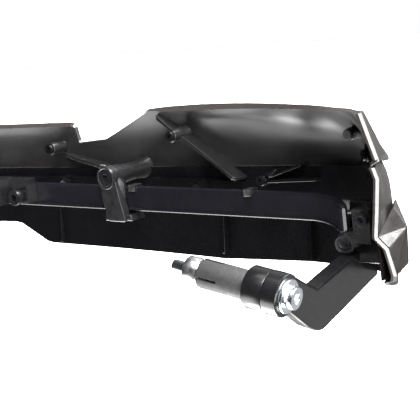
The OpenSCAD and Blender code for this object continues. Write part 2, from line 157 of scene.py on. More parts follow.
NODE_MAT = {
    "upper_shell": "inside", "lower_shell": "lower", "cover_panel": "panel", "cover_screws": "oxide",
    "seam_screws": "oxide", "rail": "rail", "rail_bracket": "bracket", "bracket_screw": "oxide",
    "bracket_insert": "brass", "rail_clips": "clip", "end_bracket": "bracket", "end_bracket_screw": "oxide",
    "flange_screw": "oxide", "tab_bolt": "oxide", "end_arm": "arm", "washer": "zinc", "end_bolt": "zinc",
    "end_spacer": "arm", "expander_sleeve": "sleeve", "expander_cone": "cone", "clamp_arm": "arm",
    "clamp_arm_bolts": "oxide", "clamp_arm_nuts": "zinc", "clamp_cap": "arm", "clamp_bolts": "oxide",
    "clamp_shim": "shim",
}
BEVEL = {
    "cover_panel": 0.35, "rail": 0.6, "rail_bracket": 0.5, "end_bracket": 0.5, "end_arm": 1.2, "clamp_arm": 1.0,
    "clamp_cap": 0.9, "end_spacer": 0.4, "washer": 0.25, "end_bolt": 0.3, "tab_bolt": 0.25, "bracket_screw": 0.2,
    "cover_screws": 0.15, "seam_screws": 0.15, "end_bracket_screw": 0.15, "flange_screw": 0.2,
    "clamp_arm_bolts": 0.3, "clamp_arm_nuts": 0.3, "clamp_bolts": 0.3, "rail_clips": 0.1, "clamp_shim": 0.08,
    "expander_sleeve": 0.3, "expander_cone": 0.3, "bracket_insert": 0.1, "upper_shell": 0.35, "lower_shell": 0.35,
}
for n, key in NODE_MAT.items():
    o = N[n]
    o.data.materials.clear()
    o.data.materials.append(M[key])
    w = o.modifiers.new("weld", "WELD")
    w.merge_threshold = 1e-6
    d = o.modifiers.new("flat", "DECIMATE")
    d.decimate_type = "DISSOLVE"
    d.angle_limit = math.radians(0.6)
    b = o.modifiers.new("edge", "BEVEL")
    b.width = BEVEL.get(n, 0.2) * 0.001
    b.segments = 2
    b.limit_method = "ANGLE"
    b.angle_limit = math.radians(35)
    b.harden_normals = False
    b.use_clamp_overlap = True


# ---------------------------------------------------------------- mesh helpers
class Part:
    """Collects closed pieces of one moulded part; points in mm, in the working frame."""

    def __init__(self):
        self.v, self.f, self.m = [], [], []

    def add(self, verts, faces, mat=0):
        k = len(self.v)
        self.v += [tuple(map(float, p)) for p in verts]
        self.f += [tuple(i + k for i in f) for f in faces]
        self.m += [mat] * len(faces) if isinstance(mat, int) else list(mat)

    def add_bm(self, bm, mat=0):
        bm.verts.ensure_lookup_table()
        bm.verts.index_update()
        self.add([v.co for v in bm.verts], [[v.index for v in f.verts] for f in bm.faces], mat)
        bm.free()

    def build(self, name, mats, slot, replaces, sharp=32, weighted=True, edge=0.0):
        me = bpy.data.meshes.new(name)
        me.from_pydata([tuple((np.array(p) + SHIFT) * 0.001) for p in self.v], [], self.f)
        me.update()
        for m in mats:
            me.materials.append(m)
        me.polygons.foreach_set("material_index", self.m)
        me.polygons.foreach_set("use_smooth", [True] * len(me.polygons))
        me.set_sharp_from_angle(angle=math.radians(sharp))
        o = bpy.data.objects.new(name, me)
        SC.collection.objects.link(o)
        if edge:
            b = o.modifiers.new("edge", "BEVEL")
            b.width = edge * 0.001
            b.segments = 2
            b.limit_method = "ANGLE"
            b.angle_limit = math.radians(38)
        if weighted:
            w = o.modifiers.new("normals", "WEIGHTED_NORMAL")
            w.keep_sharp = True
        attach(o, "root")
        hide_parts(*replaces)
        return o


def cross(a, b):
    return np.cross(a, b)


def unit(v):
    v = np.array(v, float)
    return v / np.linalg.norm(v)


def skin(part, outer, inner, m_out=0, m_in=1, m_edge=0, first=None):
    """Closed sheet between two grids of points, outer[i][j] and inner[i][j]."""
    o, n = np.array(outer, float), np.array(inner, float)
    a, b = o.shape[0], o.shape[1]
    verts = list(o.reshape(-1, 3)) + list(n.reshape(-1, 3))
    k = a * b
    faces, mats = [], []

    def q(w, x, y, z, m):
        faces.append((w, x, y, z))
        mats.append(m)
    for i in range(a - 1):
        for j in range(b - 1):
            p = i * b + j
            q(p, p + 1, p + b + 1, p + b, first if first is not None and i == 0 else m_out)
            q(k + p, k + p + b, k + p + b + 1, k + p + 1, m_in)
    for i in range(a - 1):
        p = i * b
        q(p, p + b, k + p + b, k + p, m_edge)
        p = i * b + b - 1
        q(p, k + p, k + p + b, p + b, m_edge)
    for j in range(b - 1):
        q(j, k + j, k + j + 1, j + 1, m_edge)
        p = (a - 1) * b + j
        q(p, p + 1, k + p + 1, k + p, m_edge)
    part.add(verts, faces, mats)


def loft(points, vec, bevel=0.0, segments=3):
    """bmesh of a flat outline (3D points) pushed along vec, every edge rounded."""
    bm = bmesh.new()
    lo = [bm.verts.new(p) for p in points]
    hi = [bm.verts.new(tuple(np.array(p) + np.array(vec))) for p in points]
    n = len(points)
    bm.faces.new(lo[::-1])
    bm.faces.new(hi)
    for i in range(n):
        j = (i + 1) % n
        bm.faces.new((lo[i], lo[j], hi[j], hi[i]))
    bmesh.ops.recalc_face_normals(bm, faces=bm.faces)
    if bevel > 0:
        bm.normal_update()
        edges = [e for e in bm.edges if len(e.link_faces) == 2 and e.calc_face_angle(0) > math.radians(14)]
        bmesh.ops.bevel(bm, geom=edges, offset=bevel, offset_type="OFFSET", segments=segments, profile=0.5,
                        affect="EDGES", clamp_overlap=True)
    return bm


def box8(c, bevel=0.0, segments=3):
    """bmesh of a hexahedron from 8 corners: bottom ring, then top ring."""
    bm = bmesh.new()
    v = [bm.verts.new(tuple(p)) for p in c]
    for f in ((3, 2, 1, 0), (4, 5, 6, 7), (0, 1, 5, 4), (1, 2, 6, 5), (2, 3, 7, 6), (3, 0, 4, 7)):
        bm.faces.new([v[i] for i in f])
    bmesh.ops.recalc_face_normals(bm, faces=bm.faces)
    if bevel > 0:
        bmesh.ops.bevel(bm, geom=bm.edges[:], offset=bevel, offset_type="OFFSET", segments=segments, profile=0.5,
                        affect="EDGES", clamp_overlap=True)
    return bm


def hull(points, bevel=0.0, segments=3):
    bm = bmesh.new()
    for p in points:
        bm.verts.new(tuple(p))
    bmesh.ops.convex_hull(bm, input=bm.verts)
    bmesh.ops.dissolve_limit(bm, angle_limit=math.radians(2), verts=bm.verts[:], edges=bm.edges[:])
    for v in [v for v in bm.verts if not v.link_faces]:
        bm.verts.remove(v)
    bmesh.ops.recalc_face_normals(bm, faces=bm.faces)
    if bevel > 0:
        edges = [e for e in bm.edges if len(e.link_faces) == 2 and e.calc_face_angle(0) > math.radians(6)]
        bmesh.ops.bevel(bm, geom=edges, offset=bevel, offset_type="OFFSET", segments=segments, profile=0.5,
                        affect="EDGES", clamp_overlap=True)
    return bm


def basis(d):
    d = unit(d)
    a = unit(np.cross(d, (0.0, 0.0, 1.0)) if abs(d[2]) < 0.9 else np.cross(d, (1.0, 0.0, 0.0)))
    return a, np.cross(d, a), d


def lathe(part, o, d, prof, seg=48, mat=0, sx=1.0):
    """Turned piece about the line from o along d; prof is (radius, distance), closed at both ends."""
    a, b, d = basis(d)
    o = np.array(o, float)
    verts, faces = [], []
    rings = []
    for r, t in prof:
        if r < 1e-6:
            rings.append([len(verts)])
            verts.append(o + d * t)
        else:
            rings.append(list(range(len(verts), len(verts) + seg)))
            for k in range(seg):
                w = 2 * math.pi * k / seg
                verts.append(o + d * t + a * r * math.cos(w) + b * r * math.sin(w))
    for p, q in zip(rings, rings[1:]):
        for k in range(seg):
            k2 = (k + 1) % seg
            if len(p) == 1 and len(q) == 1:
                continue
            if len(p) == 1:
                faces.append((p[0], q[k2], q[k]))
            elif len(q) == 1:
                faces.append((p[k], p[k2], q[0]))
            else:
                faces.append((p[k], p[k2], q[k2], q[k]))
    part.add(verts, faces, mat)


def round_prof(pts, r=0.3, n=3):
    """Rounds the corners of a (radius, distance) profile."""
    out = [pts[0]]
    for i in range(1, len(pts) - 1):
        p0, p1, p2 = (np.array(p, float) for p in (pts[i - 1], pts[i], pts[i + 1]))
        l0, l2 = np.linalg.norm(p0 - p1), np.linalg.norm(p2 - p1)
        c = min(r, l0 * 0.45, l2 * 0.45)
        if c < 0.01:
            out.append(tuple(p1))
            continue
        a, b = p1 + (p0 - p1) / l0 * c, p1 + (p2 - p1) / l2 * c
        for k in range(n + 1):
            t = k / n
            out.append(tuple((1 - t) ** 2 * a + 2 * t * (1 - t) * p1 + t * t * b))
    out.append(pts[-1])
    return out


def spline(keys):
    """Smooth curve through (x, value) keys, x rising; values may be tuples."""
    xs = np.array([k[0] for k in keys], float)
    ys = np.array([k[1] for k in keys], float)
    if ys.ndim == 1:
        ys = ys[:, None]
        flat = True
    else:
        flat = False
    n = len(xs)
    m = np.zeros_like(ys)
    d = (ys[1:] - ys[:-1]) / (xs[1:] - xs[:-1])[:, None]
    m[0], m[-1] = d[0], d[-1]
    for i in range(1, n - 1):
        for c in range(ys.shape[1]):
            a, b = d[i - 1, c], d[i, c]
            m[i, c] = 0 if a * b <= 0 else 2 * a * b / (a + b)

    def f(x):
        x = min(max(x, xs[0]), xs[-1])
        i = min(max(int(np.searchsorted(xs, x) - 1), 0), n - 2)
        h = xs[i + 1] - xs[i]
        t = (x - xs[i]) / h
        v = ((1 + 2 * t) * (1 - t) ** 2 * ys[i] + t * (1 - t) ** 2 * h * m[i]
             + t * t * (3 - 2 * t) * ys[i + 1] + t * t * (t - 1) * h * m[i + 1])
        return float(v[0]) if flat else v
    return f


def line(keys):
    xs = [k[0] for k in keys]
    ys = [k[1] for k in keys]
    return lambda x: float(np.interp(x, xs, ys))


def ease(x, a, b):
    t = min(max((x - a) / (b - a), 0.0), 1.0)
    return t * t * (3 - 2 * t)


# ---------------------------------------------------------------- plan of the shells
C1, R1, R2, SPLIT = np.array([-40.0, 50.0]), 55.0, 1500.0, 87.0
C2 = C1 + (R1 - R2) * np.array([math.cos(math.radians(SPLIT)), math.sin(math.radians(SPLIT))])
L1 = R1 * math.radians(SPLIT)


def plan(s):
    """Outer line of both shells, seen from above: point and outward normal at s mm from the outboard rim."""
    if s <= L1:
        a = s / R1
        n = np.array([math.cos(a), math.sin(a)])
        return C1 + R1 * n, n
    a = math.radians(SPLIT) + (s - L1) / R2
    n = np.array([math.cos(a), math.sin(a)])
    return C2 + R2 * n, n


def s_of_x(x):
    """s on the front where the outer line is at x."""
    return L1 + R2 * (math.acos((x - C2[0]) / R2) - math.radians(SPLIT))


def s_of_a(a):
    return R1 * math.radians(a)


# ---------------------------------------------------------------- upper shell
WALL = 2.8
IN_KEYS = [(23.0, -7.3, -11.3), (36.0, -9.7, -15.2), (50.0, -11.2, -18.6), (67.2, -8.8, -19.9), (83.5, -5.2, -17.4),
           (106.4, -2.2, -12.2), (126.4, -0.9, -8.0), (146.5, -0.2, -5.9), (172.0, 0.0, -5.7), (400.0, 0.0, -5.5)]
_s = np.arange(-40.0, 460.0, 1.0)
_w = np.exp(-0.5 * (np.arange(-30, 31) / 9.0) ** 2)
_w /= _w.sum()
_in = [np.interp(_s, [k[0] for k in IN_KEYS], [k[i] for k in IN_KEYS]) for i in (1, 2)]
for c in _in:
    lead = np.interp(_s, [-40, 23], [c[63] - 63 * (c[76] - c[63]) / 13, c[63]])
    c[:63] = lead[:63]
_in = [np.convolve(np.pad(c, 30, mode="edge"), _w, mode="valid") for c in _in]


def top_in(s):
    """From the base line to the rim at s, seen from above: how far the shell curls in."""
    return np.array([np.interp(s, _s, _in[0]), np.interp(s, _s, _in[1])])


rim_of_x = line([(-310, 62.0), (-229.6, 62.2), (-227.6, 61.4), (-226.5, 59.6), (-225.8, 49.6), (-204.7, 51.4),
                 (-167.3, 67.9), (-165.4, 69.4), (-150, 70.6), (-126, 71.5), (-105, 71.7), (-50, 71.6), (-14, 71.8), (3, 72.4)])
flange = [(0.0, (18.6, 50.0), (11.4, 50.0)), (11.0, (16.8, 60.8), (8.6, 57.5)), (23.0, (10.24, 72.4), (2.96, 61.1))]


def upper_out(s, z):
    """Outer face of the upper shell at s and height z."""
    if s >= 23.0:
        b = plan(s)[0]
        t = b + top_in(s)
        lin = b + (t - b) * max(z - 47.5, 0) / 24.0
    else:
        xs = [f[0] for f in flange]
        b = np.array([np.interp(s, xs, [f[1][i] for f in flange]) for i in (0, 1)])
        t = np.array([np.interp(s, xs, [f[2][i] for f in flange]) for i in (0, 1)])
        w = ease(s, 11, 23)
        lin = b + (t - b) * ((z - 51.3) / 21.4 * (1 - w) + max(z - 47.5, 0) / 24.0 * w)
    k = ease(s, 20, 82)
    if k <= 0:
        return np.array([lin[0], lin[1], z])
    D = t - b
    ln = np.linalg.norm(D)
    R = (24.5 ** 2 + ln ** 2) / (2 * ln)
    h = min(max(z - 47.0, 0), R * 0.9995)
    c = b + D / ln * (R - math.sqrt(max(R * R - h * h, 0)))
    p = lin * (1 - k) + c * k
    return np.array([p[0], p[1], z])


def rim_z(s):
    if s < 23:
        return 72.7 - 0.013 * s
    return rim_of_x(plan(s)[0][0])


def lip_vec(s):
    """From the rim's outer edge to its inner edge."""
    x = plan(s)[0][0]
    if s < 0.01:
        return np.array([-2.4, 0.0, -0.9])
    f = lambda v: np.interp(x, [-306, -228, -226.5, -205, -166, -150, -126, -60, -14, 8, 15], v)
    n = plan(s)[1]
    depth = f([2.6, 2.6, 2.8, 2.8, 2.8, 3.0, 3.0, 2.6, 2.3, 2.3, 2.4])
    drop = f([2.4, 2.2, 0.3, 0.3, 0.8, 2.6, 3.2, 2.2, 1.2, 1.0, 0.9])
    if s < 60:
        n = unit(np.array([0.52, 0.85]) * min(s / 11.0, 1.0) + np.array([1.0, 0.0]) * (1 - min(s / 11.0, 1.0)))
    return np.array([-n[0] * depth, -n[1] * depth, -drop])


def columns():
    s = [0, 2.5, 5, 8, 11, 13, 15, 17, 19, 21, 23]
    s += list(np.arange(25.5, L1, 2.6)) + list(np.arange(L1 + 2, s_of_x(-306.0), 5.0))
    for x in (-229.6, -228.6, -227.6, -226.9, -226.5, -225.9, -225.4, -222, -204.7, -167.3, -166.3, -165.4):
        s.append(s_of_x(x))
    s.append(s_of_x(-306.1))
    return sorted(set(round(float(v), 3) for v in s))


def normals(grid):
    """Inward normals of a grid of outer points (columns by rows)."""
    g = np.array(grid)
    du = np.gradient(g, axis=0)
    dv = np.gradient(g, axis=1)
    n = np.cross(du, dv)
    n /= np.linalg.norm(n, axis=2, keepdims=True) + 1e-12
    mid = n[:, 0].mean(axis=0)
    if mid[1] > 0:
        n = -n
    return n


def upper_grid(rows=26):
    S = [v for v in columns() if v != 2.5]
    out = []
    for s in S:
        zr = rim_z(s)
        zb = float(np.interp(s, [0, 11, 23, 30, 58, 61, 500], [50.6, 51.6, 48.5, 45.5, 45.5, 21.5, 21.5]))
        col = []
        for k in range(rows):
            v = k / (rows - 1)
            w = 1 - (1 - v) ** 1.8
            col.append(upper_out(s, zb + (zr - zb) * w))
        out.append(col)
    return S, np.array(out)


S_UP, G_UP = upper_grid()
N_UP = normals(G_UP)
# the end column stays in the rim's plane
inner = G_UP + N_UP * WALL
for i, s in enumerate(S_UP):
    lip = lip_vec(s)
    zr = G_UP[i, -1, 2]
    for k in range(G_UP.shape[1]):
        w = ease(G_UP[i, k, 2], zr - 9.0, zr)
        inner[i, k] = inner[i, k] * (1 - w) + (G_UP[i, k] + lip) * w
for k in range(G_UP.shape[1]):
    n = N_UP[0, k].copy()
    n[1] = 0
    n = n / np.linalg.norm(n)
    w = ease(G_UP[0, k, 2], G_UP[0, -1, 2] - 6.0, G_UP[0, -1, 2])
    inner[0, k] = (G_UP[0, k] + n * 2.4) * (1 - w) + (G_UP[0, k] + lip_vec(0)) * w
    inner[0, k, 1] = 50.0

COVER = [(-240, 89, 47.5), (-139.5, 89, 55.4), (-19, 87, 57)]
SEAM = [(-236, 93, 24.5), (-130, 95, 24.5), (-78, 88, 31.8)]
FWD = (0, 1, 0)


def outer_y(x):
    if x > C1[0] + R1 * math.cos(math.radians(SPLIT)):
        return C1[1] + math.sqrt(R1 * R1 - (x - C1[0]) ** 2)
    return C2[1] + math.sqrt(R2 * R2 - (x - C2[0]) ** 2)


def tower(part, x, y, z, r, y1, mat=0, root=1.5, hole=0.0, edge=0.5):
    """Screw tower from its rear face at y to the wall at y1, with a flared root."""
    prof = []
    if hole > 0:
        prof += [(0, 1.6), (hole, 1.6), (hole, 0)]
    else:
        prof += [(0, 0)]
    prof += [(r, 0), (r + 0.15, y1 - y - 5.5), (r + 0.4 * root, y1 - y - 3.2), (r + root, y1 - y - 1.2),
             (r + root * 1.9, y1 - y + 0.6), (0, y1 - y + 0.9)]
    lathe(part, (x, y, z), FWD, round_prof(prof, edge), 40, mat)




def chamfer_rim(outer, inner, c=1.15):
    """Adds a chamfer to the first column, which lies in the plane y = 50."""
    o, n = np.array(outer, float), np.array(inner, float)
    d = n[0] - o[0]
    d /= np.linalg.norm(d, axis=1, keepdims=True)
    first = o[0] + d * c
    edge = o[0].copy()
    edge[:, 1] += c
    deep = n[0].copy()
    deep[:, 1] += c
    return np.concatenate([[first], [edge], o[1:]]), np.concatenate([[n[0]], [deep], n[1:]])


up = Part()
G_UP, inner = chamfer_rim(G_UP, inner)
# rims and edges take the lip material, lighter as a painted highlight
skin(up, G_UP, inner, 0, 1, 2, 2)
# thick foot of the outboard flange, in the lip material with its painted highlight
up.add_bm(box8([(18.3, 50, 50.6), (16.6, 60.5, 51.4), (13.2, 60.5, 48.6), (14.4, 50, 47.9),
                (18.5, 50, 51.6), (16.8, 60.5, 52.4), (13.4, 60.5, 51.0), (14.8, 50, 50.4)], 0.3), 2)
for (x, y, z) in COVER:
    deep = {-19: 95.5, -139.5: 101.0, -240: 101.2}[x]
    tower(up, x, y, z, 3.1 if x == -19 else 3.6, deep, 3, 0.7, 1.7)
# tower that the rail bracket meets
lathe(up, (-174.5, 80, 34.8), FWD, round_prof([(0, 0), (5.6, 0), (5.2, 8), (5.3, 14), (5.9, 18.5), (7.4, 22.2), (0, 22.8)], 0.8), 44, 3)
# long rib down through the middle tower
c31, s31 = math.cos(math.radians(31)), math.sin(math.radians(31))


def rib(part, org, ang, pts, t, mat, bevel=0.35):
    """Plate whose outline is (distance along, y); it slopes down to +x by ang."""
    c, s = math.cos(math.radians(ang)), math.sin(math.radians(ang))
    o = np.array(org, float)
    n = np.array([s, 0, c])
    P = [(o[0] + c * a, y, o[2] - s * a) for a, y in pts]
    P = [tuple(np.array(p) - n * t / 2) for p in P]
    part.add_bm(loft(P, n * t, bevel), mat)


rib(up, (-139.5, 0, 55.4), 31, [(-21.5, 101.5), (-19.8, 97.2), (-17.5, 95.2), (-4, 93.9), (15, 94.0), (40, 91.4), (45.6, 90.7),
                               (47.5, 92.5), (49, 104.6), (20, 104.6), (-5, 102.8), (-16, 101.8)], 2.0, 3, 0.5)
# short bright rib from the inboard tower
rib(up, (-238, 0, 43.3), 12.5, [(-1, 99.5), (3, 96.0), (12, 94.2), (34, 94.6), (37, 97), (37, 103), (0, 103)], 2.4, 3, 0.7)
upper = up.build("upper_shell_form", [M["outside"], M["inside"], M["lip"], M["rib"]], "shell_upper", ["upper_shell"], sharp=15, edge=0.28)


# ---------------------------------------------------------------- lower shell
def smooth(z, a, b):
    return ease(z, a, b)


rim_r = line([(-20, 2.0), (-6.4, 2.0), (-5.4, 7.4), (-2.4, 8.2), (9.8, 4.9), (14.8, -0.5), (28.2, 1.3), (42.2, 2.9), (47.6, 1.0), (52, -0.4)])
side_e = line([(-20, 0), (30, 0), (36, -0.6), (41, -1.5), (44, -2.6), (47.6, -4.0), (52, -4.6)])
low_of_s = line([(0, -6.2), (3.2, -7.2), (9, -10), (20, -12.8), (55, -15), (70, -15), (110, -15.3), (170, -18), (300, -15.2), (s_of_x(-262), -15), (s_of_x(-285), -2), (500, -2)])
top_of_x = line([(-310, 34.2), (-206, 34.6), (-173, 35.2), (-130, 36.0), (-94, 36.8), (-61, 37.7), (-42, 38.1), (-28, 38.4),
                 (-16, 39.6), (-8, 42.6), (2, 45.8), (10, 47.3), (15, 47.6)])


def lower_depth(s, z):
    """Depths of the outer and inner faces under the base line."""
    if s < 62:
        bul = rim_r(z) * (1 - ease(s, 0, 14)) + side_e(z) * ease(s, 0, 14) * (1 - ease(s, 40, 62))
    else:
        bul = 0.0
    fo = 37.0 if s < 58 else (13.0 if s > 63 else 37.0 - 24.0 * (s - 58) / 5)
    fold = 3.0 * smooth(z, fo, fo + 8) * (1 if s > 58 else ease(s, 30, 58))
    o = -bul + fold
    w = ease(s, 20, 100)
    i = 2.8 - bul + 3.0 * smooth(z, 13, 21) * w
    i = max(i, o + 1.7 + 1.1 * ease(s, 90, 140))
    if s < 14:
        i = i * ease(s, 0, 14) + (o + 2.4) * (1 - ease(s, 0, 14))
    x = plan(s)[0][0]
    k = ease(-x, 88, 100)
    i += 1.1 * k * (1 - smooth(z, 28.6, 29.2)) * smooth(z, 8, 20)
    return o, i


lo_o, lo_i = [], []
S_LO = [0, 3.2, 5, 7, 9, 11, 14, 17, 20] + list(np.arange(23, L1, 2.6)) + [58.0, 60.5, 63.0] + list(np.arange(L1 + 2, s_of_x(-306.0), 5.0)) + [s_of_x(-306.1)]
S_LO = sorted(set(round(float(v), 3) for v in S_LO))
for s in S_LO:
    b, n = plan(s)
    zl, zt = low_of_s(s), top_of_x(b[0])
    Z = list(np.linspace(zl, zl + 3.6, 4)) + list(np.linspace(zl + 6, 9.8, 5)) + [11.4, 13, 14.6, 15.8, 17, 18.5, 20, 21, 23, 25, 27, 28.5, 28.75, 29.0, 29.25, 30.5] + list(np.linspace(31.6, zt, 10))
    co, ci = [], []
    for z in Z:
        o, i = lower_depth(s, z)
        co.append((b[0] - n[0] * o, b[1] - n[1] * o, z))
        ci.append((b[0] - n[0] * i, b[1] - n[1] * i, z))
    lo_o.append(co)
    lo_i.append(ci)
lo_o, lo_i = chamfer_rim(lo_o, lo_i)
# the lower shell's inner face, towers and ribs take the lower material, painted dark as shade
lo = Part()
# rims and edges take the lip material, lighter as a painted highlight
skin(lo, lo_o, lo_i, 0, 1, 2, 2)
# faceted corner block
A, B, C_, D_ = (14.2, 51.3, 15.2), (14.2, 67.5, 26.4), (24.5, 61.5, 18.4), (19.8, 51.3, 10.2)
E_, F_, G_ = (23.4, 62, 0.8), (23.1, 51.3, -2.4), (14.2, 51.3, -6)
bm = hull([A, B, C_, D_, E_, F_, G_, (7, 81.5, 27), (7, 81.5, -8), (15.6, 76, 12)])
for f in [f for f in bm.faces if f.normal.y < -0.97]:
    bmesh.ops.inset_individual(bm, faces=[f], thickness=0.9, depth=-6.0)
edges = [e for e in bm.edges if len(e.link_faces) == 2 and e.calc_face_angle(0) > math.radians(6)]
bmesh.ops.bevel(bm, geom=edges, offset=0.45, offset_type="OFFSET", segments=2, profile=0.5, affect="EDGES", clamp_overlap=True)
lo.add_bm(bm, 0)
for (x, y, z) in SEAM:
    tower(lo, x, y, z, 2.9 if x == -78 else 3.6, 101.0, 1, 1.0, 1.9 if x == -78 else 2.2)
# ribs beside the middle tower
lo.add_bm(loft([(-76, 89.6, 30.2), (-50, 97.3, 30.2), (-46, 101.6, 30.2), (-78, 102, 30.2)], (0, 0, 1.7), 0.35), 1)
rib(lo, (-76, 0, 33.0), -18, [(0, 89.8), (10, 91.0), (19, 96.0), (21, 102.0), (0, 102.0)], 1.6, 1, 0.35)
# small fillet block on the middle tower that catches the light
lo.add_bm(hull([(-78.5, 88.4, 34.6), (-74.2, 88.4, 34.6), (-77.5, 99, 36.2), (-70.5, 92, 37.4), (-69, 99, 37.2), (-72, 88.9, 33.4)], 0.5), 1)
# tower of the flange screw, and low stiffening ribs
lathe(lo, (1.6, 76.7, 21), FWD, round_prof([(0, 0), (3.9, 0), (3.9, 2.0), (1.6, 6.0), (0, 6.6)], 0.4), 32, 1)
for x, y in ((-250, 95.3), (-120, 99), (-60, 98.4)):
    lo.add_bm(box8([(x, y, -13.5), (x + 2, y, -13.5), (x + 2, y + 5, -13.5), (x, y + 5, -13.5), (x, y + 2.5, 9), (x + 2, y + 2.5, 9), (x + 2, y + 5, 9), (x, y + 5, 9)], 0.4), 1)
# pad of the screw on the end curve
ca, sa = math.cos(math.radians(48)), math.sin(math.radians(48))
lathe(lo, (C1[0] + 45.6 * ca, C1[1] + 45.6 * sa, 47), (ca, sa, 0), round_prof([(0, 0), (3.6, 0), (3.7, 3), (5.2, 4.6), (0, 5.4)], 0.5), 32, 1)
lo.add_bm(hull([(C1[0] + 46.5 * math.cos(math.radians(a)), C1[1] + 46.5 * math.sin(math.radians(a)), z) for a, z in ((40, 41), (56, 41), (52, 52), (44, 52))]
               + [(C1[0] + 52 * math.cos(math.radians(a)), C1[1] + 52 * math.sin(math.radians(a)), z) for a, z in ((34, 36), (62, 36), (58, 51), (38, 51))], 0.8), 1)
lower = lo.build("lower_shell_form", [M["outside"], M["lower"], M["lip"]], "shell_lower", ["lower_shell"], sharp=15, edge=0.28)


# ---------------------------------------------------------------- cover panel
def panel_grid():
    S = [v for v in S_UP if v > 62.5 and plan(v)[0][0] > -286] + [s_of_x(-286)]
    out, inn = [], []
    for s in S:
        x = plan(s)[0][0]
        zt = float(np.interp(x, [-286, -236, -232, -203, -160, -140, -30, 10], [54.5, 54.5, 45.5, 46, 58.5, 66.5, 67.5, 66.5]))
        zb = float(np.interp(x, [-286, -280, -150, -149, -14, 10], [42.5, 39, 39, 39.6, 50, 52]))
        co, ci = [], []
        for k in range(14):
            z = zb + (zt - zb) * k / 13
            p = upper_out(s, z)
            e = 0.5
            n = np.cross(upper_out(s + e, z) - upper_out(s - e, z), upper_out(s, z + e) - upper_out(s, z - e))
            n = n / np.linalg.norm(n)
            if n[1] < 0:
                n = -n
            co.append(p + n * 1.9)
            ci.append(p + n * 0.15)
        out.append(co)
        inn.append(ci)
    return out, inn


pn = Part()
po, pi = panel_grid()
skin(pn, po, pi, 0, 0, 0)
for (x, y, z) in COVER:
    y1 = {-19: 92.0, -139.5: 105.6, -240: 101.9}[x]
    lathe(pn, (x, y1 - 8.6, z), FWD, round_prof([(0, 0), (2.5, 0), (2.5, 8.6), (0, 9.0)], 0.3), 24, 0)
panel = pn.build("cover_panel_form", [M["panel"]], "panel", ["cover_panel"], sharp=15)


# ---------------------------------------------------------------- rail
def sweep_section(part, path, sec, mat=0):
    """path: (point, sideways, up) frames; sec: (sideways, up) loop; capped."""
    verts, faces = [], []
    m = len(sec)
    for p, a, u in path:
        for x, z in sec:
            verts.append(np.array(p) + np.array(a) * x + np.array(u) * z)
    for i in range(len(path) - 1):
        for j in range(m):
            k = (j + 1) % m
            faces.append((i * m + j, i * m + k, (i + 1) * m + k, (i + 1) * m + j))
    faces.append(tuple(range(m))[::-1])
    e = (len(path) - 1) * m
    faces.append(tuple(e + j for j in range(m)))
    part.add(verts, faces, mat)


def rounded(w, h, r, n=4):
    pts = []
    for cx, cz, a0 in ((w / 2 - r, h / 2 - r, 0), (-w / 2 + r, h / 2 - r, 90), (-w / 2 + r, -h / 2 + r, 180), (w / 2 - r, -h / 2 + r, 270)):
        for k in range(n + 1):
            a = math.radians(a0 + 90 * k / n)
            pts.append((cx + r * math.cos(a), cz + r * math.sin(a)))
    return pts


RAIL_Z = 21.75
path = []
for x in np.linspace(-288, -40, 63):
    path.append(((x, 77.5, RAIL_Z), (0, 1, 0), (0, 0, 1)))
cb = (-38.0, 47.5)
for k in range(0, 25):
    a = math.radians(90 - 45 * k / 24)
    drop = 1.7 * (k / 24) ** 1.3
    path.append(((cb[0] + 30 * math.cos(a), cb[1] + 30 * math.sin(a), RAIL_Z - drop), (math.cos(a), math.sin(a), 0), (0, 0, 1)))
q = math.sqrt(0.5)
for t, k in ((2.5, 1.0), (4.5, 0.98), (6.0, 0.94), (7.2, 0.86), (8.2, 0.74), (9.0, 0.56), (9.6, 0.3)):
    path.append(((cb[0] + 30 * q + t * q, cb[1] + 30 * q - t * q, RAIL_Z - 1.7 - 0.06 * t),
                 (q * k, q * k, 0), (0, 0, 0.75 + 0.25 * k)))
rl = Part()
sec = rounded(5.0, 14.2, 1.3)
# rail bar, and a bead along the lower edge of the rear face
sweep_section(rl, path, sec)
sweep_section(rl, [((p[0] - 2.2 * a[0], p[1] - 2.2 * a[1], p[2] - 5.9), a, u) for p, a, u in path[:-5]], rounded(1.5, 1.7, 0.6, 3))
rail = rl.build("rail_form", [M["rail"]], "rail_black", ["rail"], sharp=40)

# ---------------------------------------------------------------- rail bracket
rb = Part()
zr0 = RAIL_Z
lathe(rb, (-174.5, 68, 34.8), FWD, round_prof([(0, 4.0), (4.9, 4.0), (5.0, 0.6), (5.5, 0.0), (6.5, 0.0), (6.7, 1.4), (6.5, 6.0), (6.1, 9.0), (5.9, 12.2), (0, 12.3)], 0.35), 48, 0)
# strap under the eye, waisted, with its foot round the rail's lower edge
for pts, v in (([(-180.9, 69.2, 35.5), (-168.6, 69.2, 35.5), (-166.2, 69.2, 22), (-163.8, 69.2, 10.4), (-165.0, 69.2, 9.2), (-176.6, 69.2, 9.2), (-178.0, 69.2, 11.0), (-180.2, 69.2, 22)], (0, 5.7, 0)),):
    rb.add_bm(loft(pts, v, 1.1, 3), 0)
rb.add_bm(box8([(-179.8, 69.3, 9.4), (-160.4, 71.5, 9.6), (-160.4, 83.0, 9.6), (-179.8, 83.0, 9.4),
                (-179.8, 69.3, 13.6), (-161.4, 71.5, 13.2), (-161.4, 83.0, 13.2), (-179.8, 83.0, 13.6)], 0.9), 0)
rb.add_bm(box8([(-179.0, 80.3, 10), (-164.6, 80.3, 10), (-164.6, 83.2, 10), (-179.0, 83.2, 10),
                (-178.4, 80.3, 18.6), (-165.2, 80.3, 18.6), (-165.2, 83.2, 18.6), (-178.4, 83.2, 18.6)], 0.7), 0)
# web from the strap up to the eye's side
rb.add_bm(hull([(-168.8, 70.0, 30), (-168.8, 74.6, 30), (-168.6, 70.0, 18), (-165.6, 74.6, 30.6), (-165.8, 74.6, 21), (-169.4, 79.6, 31.6), (-169.0, 72, 37.0)], 0.7), 0)
bracket = rb.build("rail_bracket_form", [M["bracket"]], "bracket", ["rail_bracket"], sharp=30)


